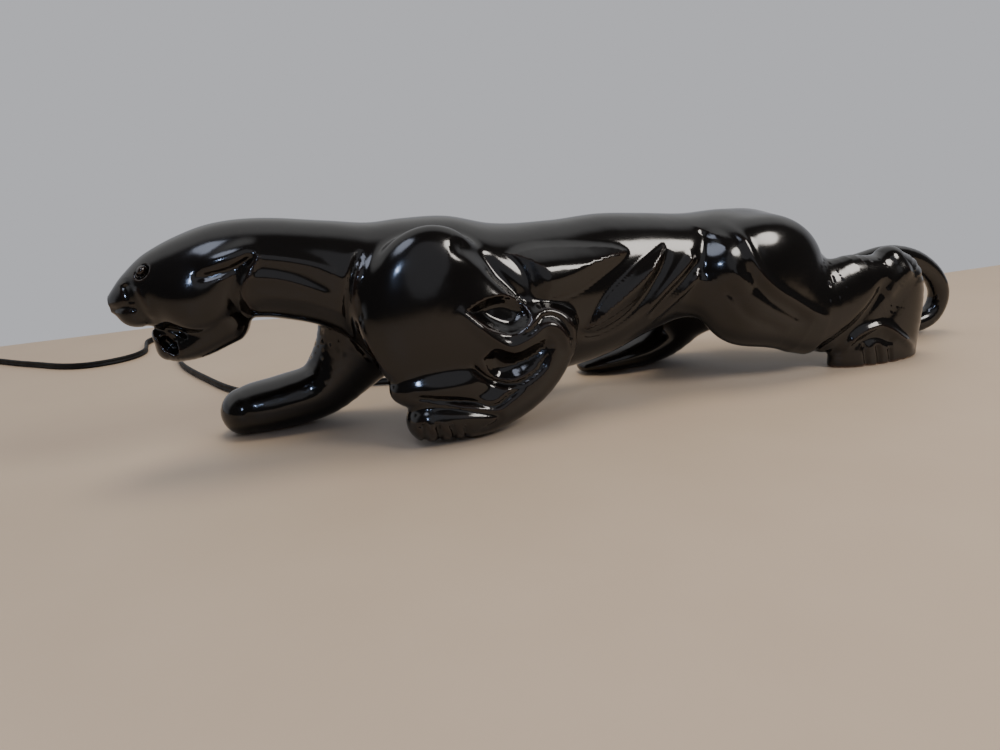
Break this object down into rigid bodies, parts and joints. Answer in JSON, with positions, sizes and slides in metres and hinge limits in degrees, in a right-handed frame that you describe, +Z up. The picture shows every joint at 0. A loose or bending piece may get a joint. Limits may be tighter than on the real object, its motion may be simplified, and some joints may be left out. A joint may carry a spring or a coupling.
{
  "type": "television lamp",
  "caption": "Black glazed ceramic television lamp in the form of a stalking panther, lit from inside through a window in its far flank.",
  "frame": {"origin": "on the table, under the middle of the ceramic figure's box", "axes": "+X from the panther's nose to its tail, +Y towards the wall that the lamp lights, +Z up"},
  "size_m": [0.8422, 0.4456, 0.1251],
  "materials": {
    "black_glazed_ceramic": "high gloss black glaze",
    "zinc_steel": "zinc-plated, satin",
    "brass": "satin brass",
    "fibre_board": "matt",
    "black_phenolic": "matt moulded phenolic",
    "aluminium": "bright",
    "solder": "dull solder",
    "black_glass": "gloss",
    "frosted_glass": "inside frosted",
    "clear_glass": "clear",
    "tungsten": "dark",
    "black_rubber": "matt",
    "black_cord": "satin vinyl",
    "copper": "bright copper strands",
    "black_phenolic_gloss": "gloss moulded",
    "ivory_plastic": "satin ivory"
  },
  "bodies": {
    "lamp": {"panther_body": "black_glazed_ceramic", "socket_bracket": "zinc_steel", "bracket_screw": "zinc_steel", "bracket_washer": "zinc_steel", "bracket_nut": "zinc_steel", "lamp_nipple": "zinc_steel", "lock_washer": "zinc_steel", "nipple_front_nut": "brass", "nipple_back_nut": "brass", "socket_cap": "brass", "socket_shell": "brass", "socket_liner": "fibre_board", "socket_core": "black_phenolic", "terminal_screws": "brass", "screw_shell": "aluminium", "centre_contact": "brass", "cord_grommet": "black_rubber", "inner_cord": "black_cord", "lead_wires": "copper", "cord_run": "black_cord", "cord_to_coil": "black_cord", "cord_coil": "black_cord", "cord_to_plug": "black_cord", "switch_lower_housing": "black_phenolic_gloss", "switch_upper_housing": "black_phenolic_gloss", "switch_screw": "zinc_steel", "switch_nut": "zinc_steel", "switch_contacts": "brass", "plug_body": "black_phenolic_gloss", "plug_blades": "brass"},
    "bulb_travel": {"bulb_tip_contact": "solder"},
    "bulb": {"bulb_base_insulator": "black_glass", "bulb_base": "aluminium", "bulb_glass": "frosted_glass", "bulb_stem": "clear_glass", "bulb_support_wires": "zinc_steel", "bulb_filament": "tungsten"},
    "thumb_wheel": {"switch_thumb_wheel": "ivory_plastic"}
  },
  "joints": [
    {"name": "bulb_advance", "type": "slide", "parent": "lamp", "child": "bulb_travel", "axis": [1, 0, 0], "range_m": [0, 0.01089]},
    {"name": "bulb_turn", "type": "hinge", "parent": "bulb_travel", "child": "bulb", "pos_m": [-0.088, 0, 0.0705], "axis": [1, 0, 0], "range_deg": [0, 1080]},
    {"name": "switch_wheel_turn", "type": "hinge", "parent": "lamp", "child": "thumb_wheel", "pos_m": [-0.503, 0.376, 0.007], "axis": [0, 0, 1], "continuous": true}
  ],
  "couplings": [
    {"joint": "bulb_advance", "follows": "bulb_turn", "m_per_rad": 0.00057757}
  ]
}
